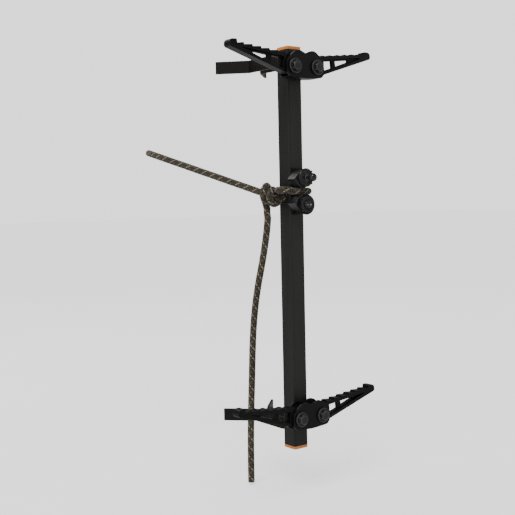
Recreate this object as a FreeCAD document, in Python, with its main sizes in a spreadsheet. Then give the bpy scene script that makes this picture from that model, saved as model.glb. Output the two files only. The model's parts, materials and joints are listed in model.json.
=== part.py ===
"""One section of a climbing stick: a square tube with two folding double steps, two V-shaped tree
brackets, a spring-loaded rope cleat and its rope. Millimetres, +Z up, front towards -Y.
The origin lies on the plane where the bracket tips meet the trunk, at mid-height."""
import FreeCAD, Part
import math
import os
from FreeCAD import Placement, Rotation, Vector

doc = FreeCAD.newDocument("climbing_stick")
sheet = doc.addObject("Spreadsheet::Sheet", "Sizes")

SIZES = {
    "stick_length": 508.0, "tube_side": 22.2, "tube_wall": 2.0, "tube_round": 2.2,
    "cap_flange": 4.0, "cap_plug": 8.0,
    "trunk_gap": 103.0,
    "upper_step": 226.0, "lower_step": -209.0,
    "pivot_spread": 17.6, "plate": 3.0, "spacer": 4.0, "arm_width": 12.0, "side_play": 0.2,
    "bracket_half": 29.0, "hub_radius": 11.5, "arm_reach": 95.3, "arm_tilt": 5.85,
    "tread_height": 15.0, "tooth_pitch": 12.6, "tooth_depth": 2.2, "pocket_depth": 3.8,
    "shoulder_radius": 4.0, "thread_radius": 3.0, "bush_radius": 5.5, "washer_radius": 9.3,
    "washer_thick": 1.8, "head_flats": 11.0, "head_height": 4.5, "nut_flats": 10.0, "nut_height": 5.5,
    "strip_thick": 3.0, "strip_height": 16.0, "strip_straight": 70.5, "strip_bend": 4.5,
    "upper_strip": 238.0, "lower_strip": -223.4,
    "upper_cam_height": 90.8, "lower_cam_height": 57.5, "cam_thick": 14.0, "cam_gap": 0.3,
    "cleat_plate": 3.0, "disc_radius": 11.4, "cap_radius": 12.4, "disc_thick": 3.0,
    "rope_size": 8.0, "rope_height": 74.15, "trunk_radius": 88.0, "trunk_centre": 75.0,
}
for row, (word, value) in enumerate(SIZES.items(), start=1):
    sheet.set(f"A{row}", word)
    sheet.set(f"B{row}", f"{value:g}")
    sheet.setAlias(f"B{row}", word)
doc.recompute()


def size(word):
    """A driving dimension, read back from the sheet."""
    return float(sheet.get(word))


HALF = size("tube_side") / 2
AXIS_Y = -size("trunk_gap")
FRONT = AXIS_Y - HALF
BACK = AXIS_Y + HALF
PLATE_BACK = FRONT - size("spacer")
ARM_BACK = PLATE_BACK - size("plate") - size("side_play")
ARM_FRONT = ARM_BACK - size("arm_width")
PLATE_FRONT = ARM_FRONT - size("side_play") - size("plate")
CHANNEL = PLATE_BACK - PLATE_FRONT
PIVOT = size("pivot_spread")
LEVELS = {"upper": size("upper_step"), "lower": size("lower_step")}
STRIPS = {"upper": size("upper_strip"), "lower": size("lower_strip")}
CAMS = {"upper": size("upper_cam_height"), "lower": size("lower_cam_height")}
CAM_BACK = FRONT - size("cleat_plate") - size("cam_gap")
CAM_FRONT = CAM_BACK - size("cam_thick")
DISC_BACK = CAM_FRONT - 0.2
DISC_FRONT = DISC_BACK - size("disc_thick")
ROPE_Y = (CAM_BACK + CAM_FRONT) / 2
PLAY = 0.05
nodes = {}


# ---------------------------------------------------------------- helpers

def keep(node, obj, place=None):
    """Give an object its node name and its place in the whole."""
    obj.Label = node
    if place is not None:
        obj.Placement = place
    nodes[node] = obj
    return obj


def new_body(name):
    return doc.addObject("PartDesign::Body", name)


def sketch_on(body, name, role, lift=0.0):
    """A sketch on one of the body's origin planes, lifted along the plane's normal."""
    sketch = body.newObject("Sketcher::SketchObject", name)
    plane = [item for item in body.Origin.OriginFeatures if item.Role == role][0]
    sketch.AttachmentSupport = [(plane, "")]
    sketch.MapMode = "FlatFace"
    sketch.AttachmentOffset = Placement(Vector(0, 0, lift), Rotation())
    return sketch


def flat(x, y):
    return Vector(x, y, 0)


def draw_polygon(sketch, points):
    """Closed outline of straight edges."""
    for start, end in zip(points, points[1:] + points[:1]):
        sketch.addGeometry(Part.LineSegment(flat(*start), flat(*end)), False)


def draw_rounded_box(sketch, half_x, half_y, radius):
    """Closed rectangle about the sketch origin with round corners."""
    turns = [(1, 1), (-1, 1), (-1, -1), (1, -1)]
    for step, (sx, sy) in enumerate(turns):
        centre = flat(sx * (half_x - radius), sy * (half_y - radius))
        circle = Part.Circle(centre, Vector(0, 0, 1), radius)
        start = step * math.pi / 2
        sketch.addGeometry(Part.ArcOfCircle(circle, start, start + math.pi / 2), False)
    for sy in (1, -1):
        sketch.addGeometry(Part.LineSegment(flat(radius - half_x, sy * half_y),
                                            flat(half_x - radius, sy * half_y)), False)
    for sx in (1, -1):
        sketch.addGeometry(Part.LineSegment(flat(sx * half_x, radius - half_y),
                                            flat(sx * half_x, half_y - radius)), False)


def draw_path(sketch, items):
    """Closed outline from points; an item of five numbers is an arc end with its middle point."""
    ends = [item[:2] for item in items]
    for index, item in enumerate(items):
        start = ends[index - 1]
        if len(item) == 2:
            sketch.addGeometry(Part.LineSegment(flat(*start), flat(*item)), False)
        else:
            sketch.addGeometry(Part.Arc(flat(*start), flat(*item[2:]), flat(*item[:2])), False)


def draw_ribbon(sketch, points, radius, thick):
    """Outline of a bent strip about its middle line; every bend has the same middle radius."""
    line = [flat(*point) for point in points]
    ways = [(b - a).normalize() for a, b in zip(line, line[1:])]
    lefts = [Vector(-way.y, way.x, 0) for way in ways]
    for shift in (-thick / 2, thick / 2):
        at = line[0] + lefts[0] * shift
        for index in range(1, len(line) - 1):
            before, after = ways[index - 1], ways[index]
            sense = 1 if before.cross(after).z > 0 else -1
            half_turn = before.getAngle(after) / 2
            run = radius * math.tan(half_turn)
            enter = line[index] - before * run
            leave = line[index] + after * run
            centre = enter + lefts[index - 1] * (radius * sense)
            middle = centre + (line[index] - centre).normalize() * (radius - sense * shift)
            first = enter + lefts[index - 1] * shift
            last = leave + lefts[index] * shift
            sketch.addGeometry(Part.LineSegment(at, first), False)
            sketch.addGeometry(Part.Arc(first, middle, last), False)
            at = last
        sketch.addGeometry(Part.LineSegment(at, line[-1] + lefts[-1] * shift), False)
    for point, left in ((line[0], lefts[0]), (line[-1], lefts[-1])):
        sketch.addGeometry(Part.LineSegment(point - left * (thick / 2), point + left * (thick / 2)), False)


def draw_circle(sketch, x, y, radius):
    sketch.addGeometry(Part.Circle(flat(x, y), Vector(0, 0, 1), radius), False)


def draw_hexagon(sketch, flats, x=0.0, y=0.0):
    """Hexagon with a corner straight up."""
    corner = flats / math.sqrt(3)
    angles = [math.radians(90 + 60 * k) for k in range(6)]
    draw_polygon(sketch, [(x + corner * math.cos(a), y + corner * math.sin(a)) for a in angles])


def pad(body, sketch, length, away=False):
    """Pad by a length, given as an expression or a number."""
    feature = body.newObject("PartDesign::Pad", sketch.Name + "Pad")
    feature.Profile = sketch
    feature.Reversed = away
    if isinstance(length, str):
        feature.setExpression("Length", length)
    else:
        feature.Length = length
    sketch.Visibility = False
    return feature


def cut(body, sketch, length, away=False):
    """Pocket along the sketch's own normal, or against it, checked by volume."""
    doc.recompute()
    before = body.Shape.Volume
    feature = body.newObject("PartDesign::Pocket", sketch.Name + "Cut")
    feature.Profile = sketch
    feature.Reversed = not away
    if isinstance(length, str):
        feature.setExpression("Length", length)
    else:
        feature.Length = length
    doc.recompute()
    if body.Shape.Volume > before - 1e-6:
        raise RuntimeError(sketch.Name + " cuts nothing")
    return feature


def round_edges(body, radius, wanted):
    """Fillet the edges of the body's last feature whose middle passes the test."""
    doc.recompute()
    tip = body.Tip
    names = []
    for index, edge in enumerate(tip.Shape.Edges, start=1):
        if wanted(edge):
            names.append(f"Edge{index}")
    fillet = body.newObject("PartDesign::Fillet", tip.Name + "Round")
    fillet.Base = (tip, names)
    fillet.Radius = radius
    doc.recompute()
    return fillet


def turned(name, profile):
    """A body turned about its own Z axis from (radius, height) points."""
    body = new_body(name)
    sketch = sketch_on(body, name + "Profile", "XZ_Plane")
    draw_path(sketch, profile)
    turn = body.newObject("PartDesign::Revolution", name + "Turn")
    turn.Profile = sketch
    turn.ReferenceAxis = (sketch, ["V_Axis"])
    turn.Angle = 360
    return body


def forward(x, y, z):
    """Place a turned piece so that its own +Z points to the front, -Y."""
    return Placement(Vector(x, y, z), Rotation(Vector(1, 0, 0), 90))


def rearward(x, y, z):
    return Placement(Vector(x, y, z), Rotation(Vector(1, 0, 0), -90))


def group(node, parts):
    """Identical fasteners as separate solids of one node."""
    compound = doc.addObject("Part::Compound", node + "_set")
    compound.Links = parts
    return keep(node, compound)


# ---------------------------------------------------------------- tube and caps

SCREW_OFFSETS = (-6.0, 7.0)
RIVET_NUT = 4.0
STRIP_SCREW_X = 3.4
STRIP_NUT = 3.0
GROMMET_HEIGHT = 66.0
GROMMET_SLEEVE = 5.0


def main_tube():
    """Square tube with the holes for every rivet nut and the rope grommet."""
    body = new_body("MainTube")
    sketch = sketch_on(body, "TubeSection", "XY_Plane")
    draw_rounded_box(sketch, HALF, HALF, size("tube_round"))
    inner = HALF - size("tube_wall")
    draw_rounded_box(sketch, inner, inner, 0.8)
    length = size("stick_length") - 2 * size("cap_flange")
    sketch.AttachmentOffset = Placement(Vector(0, 0, -length / 2), Rotation())
    pad(body, sketch, "Sizes.stick_length - 2 * Sizes.cap_flange")
    front = sketch_on(body, "FrontHoles", "XZ_Plane")
    for level in LEVELS.values():
        for offset in SCREW_OFFSETS:
            draw_circle(front, 0, level + offset, RIVET_NUT)
    for height in CAMS.values():
        draw_circle(front, 0, height, RIVET_NUT)
    cut(body, front, HALF + 1)
    rear = sketch_on(body, "RearHoles", "XZ_Plane")
    for height in STRIPS.values():
        for side in (-1, 1):
            draw_circle(rear, side * STRIP_SCREW_X, height, STRIP_NUT)
    cut(body, rear, HALF + 1, away=True)
    rope_hole = sketch_on(body, "RopeHole", "YZ_Plane")
    draw_circle(rope_hole, 0, GROMMET_HEIGHT, GROMMET_SLEEVE + 0.05)
    cut(body, rope_hole, HALF + 1, away=True)
    keep("main_tube", body, Placement(Vector(0, AXIS_Y, 0), Rotation()))


def end_cap(level, sign):
    """Moulded cap: a flange as wide as the tube and a plug that grips inside it."""
    body = new_body(level.title() + "Cap")
    flange = sketch_on(body, level + "Flange", "XY_Plane")
    draw_rounded_box(flange, HALF, HALF, size("tube_round"))
    pad(body, flange, "Sizes.cap_flange")
    plug = sketch_on(body, level + "Plug", "XY_Plane")
    half = HALF - size("tube_wall") - 0.05
    draw_rounded_box(plug, half, half, 0.8)
    pad(body, plug, "Sizes.cap_plug", away=True)
    bore = sketch_on(body, level + "PlugBore", "XY_Plane", -size("cap_plug"))
    draw_rounded_box(bore, half - 2, half - 2, 0.6)
    cut(body, bore, "Sizes.cap_plug - 1", away=False)
    round_edges(body, 1.2, lambda edge: abs(edge.CenterOfMass.z - size("cap_flange")) < 1e-4)
    height = sign * (size("stick_length") / 2 - size("cap_flange"))
    turn = Rotation() if sign > 0 else Rotation(Vector(1, 0, 0), 180)
    keep(level + "_end_cap", body, Placement(Vector(0, AXIS_Y, height), turn))


# ---------------------------------------------------------------- tree brackets

def tree_bracket(level):
    """Flat bar bent to a channel whose ends splay out at 45 degrees to bite the trunk."""
    body = new_body(level.title() + "TreeBracket")
    thick = size("strip_thick")
    web_y = HALF + thick / 2
    wall_x = HALF - thick / 2
    bend_y = size("strip_straight")
    tip_y = size("trunk_gap") - thick / 2 * math.sqrt(0.5)
    tip_x = wall_x + tip_y - bend_y
    right = [(wall_x, web_y), (wall_x, bend_y), (tip_x, tip_y)]
    left = [(-x, y) for x, y in reversed(right)]
    section = sketch_on(body, level + "Strip", "XY_Plane", -size("strip_height") / 2)
    draw_ribbon(section, left + right, size("strip_bend") - thick / 2, thick)
    pad(body, section, "Sizes.strip_height")
    holes = sketch_on(body, level + "StripHoles", "XZ_Plane")
    for side in (-1, 1):
        draw_circle(holes, side * STRIP_SCREW_X, 0, STRIP_SCREW + 0.15)
    cut(body, holes, HALF + thick + 1, away=True)
    keep(level + "_tree_bracket", body, Placement(Vector(0, AXIS_Y, STRIPS[level]), Rotation()))


STRIP_SCREW = 2.0
STRIP_HEAD = 3.1
STRIP_HEAD_HEIGHT = 2.2


def button_screw(name, shank, head, head_height, length):
    """Button-head screw along +Z with its head's underside at zero and the shank below."""
    crown = head * 0.55
    return turned(name, [(0, -length), (shank, -length), (shank, 0), (head, 0),
                         (crown, head_height, head * 0.92, head_height * 0.62),
                         (crown * 0.8, head_height), (crown * 0.8, head_height * 0.35),
                         (0, head_height * 0.35)])


def strip_screws(level):
    """Two button screws that hold a tree bracket to the tube's back."""
    parts = []
    for side in (-1, 1):
        screw = button_screw(f"{level}StripScrew{side + 1}", STRIP_SCREW, STRIP_HEAD, STRIP_HEAD_HEIGHT, 9.0)
        screw.Placement = rearward(side * STRIP_SCREW_X, BACK + size("strip_thick"), STRIPS[level])
        parts.append(screw)
    group(level + "_bracket_screws", parts)


# ---------------------------------------------------------------- step brackets

def bracket_face():
    """Front outline of a step bracket's plates about the middle of its two pivots."""
    half = size("bracket_half")
    return [(-20.0, -13.2), (0.0, -14.6), (20.0, -13.2), (25.0, -12.4), (half, -8.5), (half, 7.0),
            (21.5, 14.5), (17.0, 18.0), (5.0, 18.0, 11.0, 19.6), (0.0, 16.0), (-5.0, 18.0),
            (-17.0, 18.0, -11.0, 19.6), (-21.5, 14.5), (-half, 7.0), (-half, -8.5), (-25.0, -12.4)]


WEB_HALF = 25.0
WEB_TOP = -11.8


def step_bracket(level):
    """Channel open at the top: two plates joined by a web on which the steps come to rest."""
    body = new_body(level.title() + "StepBracket")
    plate = size("plate")
    rear = sketch_on(body, level + "RearPlate", "XZ_Plane")
    draw_path(rear, bracket_face())
    pad(body, rear, "Sizes.plate")
    web = sketch_on(body, level + "Web", "XZ_Plane")
    draw_polygon(web, [(-WEB_HALF, -12.4), (-20.0, -13.2), (0.0, -14.6), (20.0, -13.2),
                       (WEB_HALF, -12.4), (WEB_HALF, WEB_TOP), (-WEB_HALF, WEB_TOP)])
    pad(body, web, "2 * Sizes.plate + 2 * Sizes.side_play + Sizes.arm_width")
    face = sketch_on(body, level + "FrontPlate", "XZ_Plane", CHANNEL - plate)
    draw_path(face, bracket_face())
    pad(body, face, "Sizes.plate")
    bolts = sketch_on(body, level + "ThreadHoles", "XZ_Plane")
    shoulders = sketch_on(body, level + "ShoulderHoles", "XZ_Plane", CHANNEL)
    for side in (-1, 1):
        draw_circle(bolts, side * PIVOT, 0, size("thread_radius") + 0.15)
        draw_circle(shoulders, side * PIVOT, 0, size("shoulder_radius") + 0.05)
    for offset in SCREW_OFFSETS:
        draw_circle(bolts, 0, offset, size("thread_radius") + 0.15)
    cut(body, bolts, plate)
    cut(body, shoulders, plate, away=True)
    for index, offset in enumerate(SCREW_OFFSETS):
        sink = body.newObject("PartDesign::SubtractiveCone", f"{level}Sink{index}")
        sink.Radius1 = SINK_RADIUS
        sink.Radius2 = size("thread_radius")
        sink.Height = SINK_DEPTH
        sink.Placement = Placement(Vector(0, -plate, offset), Rotation(Vector(1, 0, 0), -90))
    keep(level + "_step_bracket", body, Placement(Vector(0, PLATE_BACK, LEVELS[level]), Rotation()))


SINK_RADIUS = 5.4
SINK_DEPTH = 2.4
SCREW_DROP = 0.1
SOCKET_RADIUS = 2.0
SOCKET_DEPTH = 1.6
MOUNT_LENGTH = 14.0
NUT_FLANGE = 5.6
NUT_RIM = 0.8
NUT_LENGTHS = {"step": 9.0, "strip": 7.0, "cam": 8.0}
SPACER_HALF = 14.0
SPACER_ROUND = 3.0


def step_spacer(level):
    """Nylon pad between a step bracket and the tube, drilled to clear the rivet nut flanges."""
    body = new_body(level.title() + "Spacer")
    sketch = sketch_on(body, level + "SpacerFace", "XZ_Plane")
    draw_rounded_box(sketch, HALF, SPACER_HALF, SPACER_ROUND)
    pad(body, sketch, "Sizes.spacer")
    holes = sketch_on(body, level + "SpacerHoles", "XZ_Plane", size("spacer"))
    for offset in SCREW_OFFSETS:
        draw_circle(holes, 0, offset, NUT_FLANGE + 0.2)
    cut(body, holes, "Sizes.spacer", away=True)
    keep(level + "_step_spacer", body, Placement(Vector(0, FRONT, LEVELS[level]), Rotation()))


def mounting_screws(level):
    """Two countersunk screws that hold a step bracket to the tube's front."""
    parts = []
    thread = size("thread_radius")
    for index, offset in enumerate(SCREW_OFFSETS):
        screw = turned(f"{level}Mount{index}",
                       [(0, -MOUNT_LENGTH), (thread, -MOUNT_LENGTH), (thread, SCREW_DROP - SINK_DEPTH),
                        (SINK_RADIUS - 0.25, -SCREW_DROP), (SOCKET_RADIUS, -SCREW_DROP),
                        (SOCKET_RADIUS, -SOCKET_DEPTH), (0, -SOCKET_DEPTH)])
        screw.Placement = forward(0, PLATE_BACK - size("plate"), LEVELS[level] + offset)
        parts.append(screw)
    group(level + "_mounting_screws", parts)


def rivet_nut(name, bore, outer, length, flange=0.0):
    """Blind rivet nut along +Z: a sleeve below zero and, where asked for, a thin flange above it."""
    inner = bore + PLAY
    outline = [(inner, -length), (outer - PLAY, -length), (outer - PLAY, 0.0)]
    if flange:
        outline += [(flange, 0.0), (flange, NUT_RIM), (inner, NUT_RIM)]
    else:
        outline.append((inner, 0.0))
    return turned(name, outline)


def rivet_nuts():
    """Every rivet nut that the tube carries."""
    parts = []
    thread = size("thread_radius")
    for level, height in LEVELS.items():
        for index, offset in enumerate(SCREW_OFFSETS):
            nut = rivet_nut(f"{level}StepNut{index}", thread, RIVET_NUT, NUT_LENGTHS["step"], NUT_FLANGE)
            nut.Placement = forward(0, FRONT, height + offset)
            parts.append(nut)
        for side in (-1, 1):
            nut = rivet_nut(f"{level}StripNut{side + 1}", STRIP_SCREW, STRIP_NUT, NUT_LENGTHS["strip"])
            nut.Placement = rearward(side * STRIP_SCREW_X, BACK, STRIPS[level])
            parts.append(nut)
    for level, height in CAMS.items():
        nut = rivet_nut(f"{level}CamNut", thread, RIVET_NUT, NUT_LENGTHS["cam"])
        nut.Placement = forward(0, FRONT, height)
        parts.append(nut)
    group("rivet_nuts", parts)


# ---------------------------------------------------------------- step pivots

def fuse_hexagon(name, turned_part, flats, low, height):
    """A turned piece with a hexagon fused on between two heights."""
    prism = new_body(name + "Hex")
    sketch = sketch_on(prism, name + "HexFace", "XY_Plane", low)
    draw_hexagon(sketch, flats)
    pad(prism, sketch, height)
    crown = flats / math.sqrt(3)
    dome = turned(name + "Dome", [(0, low - 1), (crown + 0.1, low - 1), (crown + 0.1, low + height * 0.72),
                                  (flats / 2 - 0.6, low + height), (0, low + height)])
    head = doc.addObject("Part::Common", name + "Head")
    head.Base = prism
    head.Tool = dome
    whole = doc.addObject("Part::MultiFuse", name + "Whole")
    whole.Shapes = [turned_part, head]
    return whole


def pivot_bolts(level):
    """Hexagon shoulder bolts on which the two steps of a pair swing."""
    parts = []
    shoulder = size("shoulder_radius")
    thread = size("thread_radius")
    washer = size("washer_thick")
    grip = CHANNEL - size("plate") + washer
    tail = grip + size("plate") + size("nut_height") + 0.8
    for side in (-1, 1):
        name = f"{level}Pivot{side + 1}"
        shank = turned(name, [(0, -tail), (thread, -tail), (thread, -grip), (shoulder, -grip),
                              (shoulder, 0), (shoulder, 1.0), (0, 1.0)])
        bolt = fuse_hexagon(name, shank, size("head_flats"), 0.0, size("head_height"))
        bolt.Placement = forward(side * PIVOT, PLATE_FRONT - washer, LEVELS[level])
        parts.append(bolt)
    group(level + "_pivot_bolts", parts)


def pivot_washers(level):
    """Turned washers with a raised rim under the pivot bolts' heads."""
    parts = []
    rim = size("washer_radius")
    thick = size("washer_thick")
    hole = size("shoulder_radius") + 0.05
    for side in (-1, 1):
        washer = turned(f"{level}Washer{side + 1}",
                        [(hole, 0), (rim - 0.5, 0), (rim, 0.5), (rim, thick + 0.4),
                         (rim - 0.6, thick + 0.9), (rim - 1.5, thick + 0.9), (rim - 2.1, thick),
                         (hole, thick)])
        washer.Placement = forward(side * PIVOT, PLATE_FRONT, LEVELS[level])
        parts.append(washer)
    group(level + "_pivot_washers", parts)


def pivot_nuts(level):
    """Lock nuts behind the bracket's back plate, just clear of the tube's sides."""
    parts = []
    thread = size("thread_radius")
    for side in (-1, 1):
        name = f"{level}LockNut{side + 1}"
        collar = turned(name, [(thread + 0.05, 0), (thread + 1.6, 0), (thread + 1.6, size("nut_height")),
                               (thread + 0.8, size("nut_height") + 0.6), (thread + 0.05, size("nut_height") + 0.6)])
        prism = new_body(name + "Hex")
        sketch = sketch_on(prism, name + "Face", "XY_Plane")
        draw_hexagon(sketch, size("nut_flats"))
        draw_circle(sketch, 0, 0, thread + 0.05)
        pad(prism, sketch, "Sizes.nut_height * 0.8")
        nut = doc.addObject("Part::MultiFuse", name + "Whole")
        nut.Shapes = [collar, prism]
        nut.Placement = rearward(side * PIVOT, PLATE_BACK, LEVELS[level])
        parts.append(nut)
    group(level + "_pivot_nuts", parts)


# ---------------------------------------------------------------- folding steps

LIP_INNER = 85.5
LIP_TOP = 17.1
TEETH = 6


def step_outline():
    """Outline of a step in its own frame: pivot at zero, tread level along +X."""
    hub = size("hub_radius")
    tread = size("tread_height")
    pitch = size("tooth_pitch")
    root = tread - size("tooth_depth")
    reach = size("arm_reach")
    low = math.radians(-78)
    start = (hub * math.cos(low), hub * math.sin(low))
    far = math.radians(140)
    halfway = math.radians(211)
    path = [(hub * math.cos(far), hub * math.sin(far), hub * math.cos(halfway), hub * math.sin(halfway))]
    path += [(-5.0, tread - 1.0), (-3.5, tread), (pitch - 1.0, root)]
    for tooth in range(1, TEETH + 1):
        path += [(tooth * pitch, tread), ((tooth + 1) * pitch - 1.0, root)]
    path[-1] = (LIP_INNER - 0.8, root)
    path += [(LIP_INNER, LIP_TOP - 0.6), (LIP_INNER + 0.8, LIP_TOP), (reach - 4.5, LIP_TOP - 0.6),
             (reach, 10.5, reach - 1.0, 14.8), (reach - 2.6, 6.9, reach - 0.5, 8.3)]
    path.append(start)
    return path


def step_pocket():
    """Shallow recess that leaves a rim and a rib on each face of a step."""
    return [(14.6, 9.6), (14.6, -5.6), (30.0, -2.6), (77.0, 8.6), (77.0, 9.6)]


def step_windows():
    return [[(17.6, 7.6), (17.6, -3.6), (31.0, -0.8), (31.0, 7.6)],
            [(37.0, 7.6), (37.0, 0.6), (59.0, 5.6), (59.0, 7.6)]]


def folding_step(level, word, side):
    """Cast step with a saw-toothed tread, a lip at its tip and two windows; side is -1 for left."""
    name = level.title() + word.title()
    body = new_body(name)

    def turned_out(points):
        return [tuple(side * v if k % 2 == 0 else v for k, v in enumerate(point)) for point in points]

    outline = sketch_on(body, name + "Outline", "XZ_Plane")
    draw_path(outline, turned_out(step_outline()))
    pad(body, outline, "Sizes.arm_width")
    near = sketch_on(body, name + "FrontPocket", "XZ_Plane", size("arm_width"))
    draw_polygon(near, turned_out(step_pocket()))
    cut(body, near, "Sizes.pocket_depth", away=True)
    far = sketch_on(body, name + "RearPocket", "XZ_Plane")
    draw_polygon(far, turned_out(step_pocket()))
    cut(body, far, "Sizes.pocket_depth")
    through = sketch_on(body, name + "Windows", "XZ_Plane", size("arm_width"))
    for window in step_windows():
        draw_polygon(through, turned_out(window))
    draw_circle(through, 0, 0, size("bush_radius") + 0.05)
    cut(body, through, "Sizes.arm_width", away=True)
    tilt = Rotation(Vector(0, 1, 0), -side * size("arm_tilt"))
    keep(f"{level}_{word}_step", body, Placement(Vector(side * PIVOT, ARM_BACK, LEVELS[level]), tilt))
    bush = turned(name + "Bush", [(size("shoulder_radius") + 0.05, 0.0), (size("bush_radius"), 0.0),
                                  (size("bush_radius"), size("arm_width")),
                                  (size("shoulder_radius") + 0.05, size("arm_width"))])
    keep(f"{level}_{word}_bush", bush, forward(side * PIVOT, ARM_BACK, LEVELS[level]))


# ---------------------------------------------------------------- rope cleat

CAM_TEETH = 9
CAM_TOOTH = 0.9
CAM_BORE = 3.06
CAM_START = 194.0
CAM_END = 286.0
CAM_LEFT = 15.2
CAM_ROPE = 11.7
CAM_ROUND = 11.0
SPRING_WELL = 7.2
SPRING_OUTER = 6.4
SPRING_INNER = 4.6
WELL_DEPTH = 4.0
CLEAT_HALF = 29.0
CLEAT_ROUND = 5.0
CLEAT_INSET = 1.4


def cam_outline(flip):
    """Cam about its pivot: slanted thumb facet, toothed spiral towards the rope, round back."""
    points = [(-6.5, 9.6), (-18.0, -1.6), (-17.4, -2.6)]
    step = (CAM_END - CAM_START) / CAM_TEETH
    for tooth in range(CAM_TEETH):
        for share, drop in ((0.0, CAM_TOOTH), (0.35, 0.0), (0.65, 0.0)):
            angle = CAM_START + (tooth + share) * step
            spiral = CAM_LEFT + (CAM_ROPE - CAM_LEFT) * (angle - CAM_START) / (CAM_END - CAM_START)
            turn = math.radians(angle)
            points.append(((spiral - drop) * math.cos(turn), (spiral - drop) * math.sin(turn)))
    path = [(x, flip * z) for x, z in points]
    first = math.radians(CAM_END)
    last = math.radians(100.0)
    path.append((CAM_ROUND * math.cos(first), flip * CAM_ROUND * math.sin(first)))
    path.append((CAM_ROUND * math.cos(last), flip * CAM_ROUND * math.sin(last), CAM_ROUND, 0.0))
    return path


def cam(level):
    """Toothed cam that swings on its bolt and bites the rope against its twin."""
    flip = 1 if level == "upper" else -1
    body = new_body(level.title() + "Cam")
    sketch = sketch_on(body, level + "CamFace", "XZ_Plane")
    draw_path(sketch, cam_outline(flip))
    draw_circle(sketch, 0, 0, CAM_BORE)
    pad(body, sketch, "Sizes.cam_thick")
    recess = sketch_on(body, level + "SpringWell", "XZ_Plane")
    draw_circle(recess, 0, 0, SPRING_WELL)
    cut(body, recess, WELL_DEPTH)
    keep(level + "_cam", body, Placement(Vector(0, CAM_BACK, CAMS[level]), Rotation()))


def cam_spring(level):
    """Coiled torsion spring in the cam's well, as the sleeve of its windings."""
    low = 0.2
    high = WELL_DEPTH - low
    spring = turned(level + "Spring", [(SPRING_INNER, low), (SPRING_OUTER, low), (SPRING_OUTER, high),
                                       (SPRING_INNER, high)])
    keep(level + "_cam_spring", spring, forward(0, CAM_BACK, CAMS[level]))


def cleat_base():
    """Plate behind the two cams."""
    body = new_body("CleatBase")
    middle = sum(CAMS.values()) / 2
    sketch = sketch_on(body, "CleatPlate", "XZ_Plane")
    draw_rounded_box(sketch, HALF - CLEAT_INSET, CLEAT_HALF, CLEAT_ROUND)
    pad(body, sketch, "Sizes.cleat_plate")
    holes = sketch_on(body, "CleatHoles", "XZ_Plane", size("cleat_plate"))
    for height in CAMS.values():
        draw_circle(holes, 0, height - middle, size("thread_radius") + 0.15)
    cut(body, holes, "Sizes.cleat_plate", away=True)
    keep("cleat_base", body, Placement(Vector(0, FRONT, middle), Rotation()))


def cam_bolt(level):
    """Bolt that carries a cam; the upper one runs on in front as the knob's stud."""
    thread = size("thread_radius")
    tail = FRONT + NUT_LENGTHS["cam"] - 0.5 - DISC_FRONT
    nose = KNOB_STUD if level == "upper" else 0.0
    radius = STUD_RADIUS if level == "upper" else thread
    path = [(0, -tail), (thread, -tail), (thread, 0)]
    if nose:
        path += [(radius, 0), (radius, nose), (0, nose)]
    else:
        path += [(0, 0)]
    bolt = turned(level + "CamBolt", path)
    keep(level + "_cam_bolt", bolt, forward(0, DISC_FRONT, CAMS[level]))


KNOB_STUD = 9.0
STUD_RADIUS = 2.4
KNOB_RADIUS = 5.2
KNOB_CENTRE = 10.8


def cam_discs():
    """Domed washer in front of the upper cam and the wide knurled cap of the lower one."""
    bore = size("thread_radius") + 0.05
    rim = size("disc_radius")
    thick = size("disc_thick")
    washer = turned("UpperDisc", [(bore, 0), (rim, 0), (rim, thick * 0.45),
                                  (rim - 3.5, thick, rim - 1.0, thick * 0.86), (bore, thick)])
    keep("upper_cam_disc", washer, forward(0, DISC_BACK, CAMS["upper"]))
    rim = size("cap_radius")
    cap = turned("LowerCap", [(bore, 0), (rim - 0.5, 0), (rim, 0.5), (rim, thick * 0.7),
                              (rim - 1.2, thick), (bore, thick)])
    keep("lower_cam_cap", cap, forward(0, DISC_BACK, CAMS["lower"]))


def knob():
    """Round knob on the upper cam's stud."""
    bore = STUD_RADIUS + 0.05
    centre = KNOB_CENTRE
    foot = centre - math.sqrt(KNOB_RADIUS ** 2 - 3.4 ** 2)
    body = turned("Knob", [(bore, foot - 1.2), (3.4, foot - 1.2), (3.4, foot),
                           (0, centre + KNOB_RADIUS, KNOB_RADIUS, centre),
                           (0, KNOB_STUD + 0.1), (bore, KNOB_STUD + 0.1)])
    keep("cleat_knob", body, forward(0, DISC_FRONT, CAMS["upper"]))


# ---------------------------------------------------------------- rope

LEAD = [(-12.7, -103.0, 66.0), (-21.5, -102.6, 66.3), (-25.0, -101.0, 67.5)]
HITCH_MIDDLE = Vector(-29.0, -91.5, 70.5)
HITCH_WAY = Vector(-0.3467, 0.880, 0.3244)
HITCH_HALF = 14.0
HITCH_RADIUS = 12.4
CORNER = (11.6, 74.15)
LOOP_HEIGHTS = (127.0, 134.7, 128.4, 110.6, 88.5, 72.0)
LOOP_FROM = 88.6
LOOP_STEP = 37.2
TAIL = [(-33.5, -92.0, 64.0), (-34.2, -96.0, 42.0), (-34.4, -92.5, 14.0), (-36.5, -85.0, -22.0),
        (-38.5, -72.0, -75.0), (-36.8, -62.0, -148.0), (-36.4, -56.8, -205.0), (-35.6, -52.5, -260.0),
        (-34.4, -51.0, -305.0)]


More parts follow.
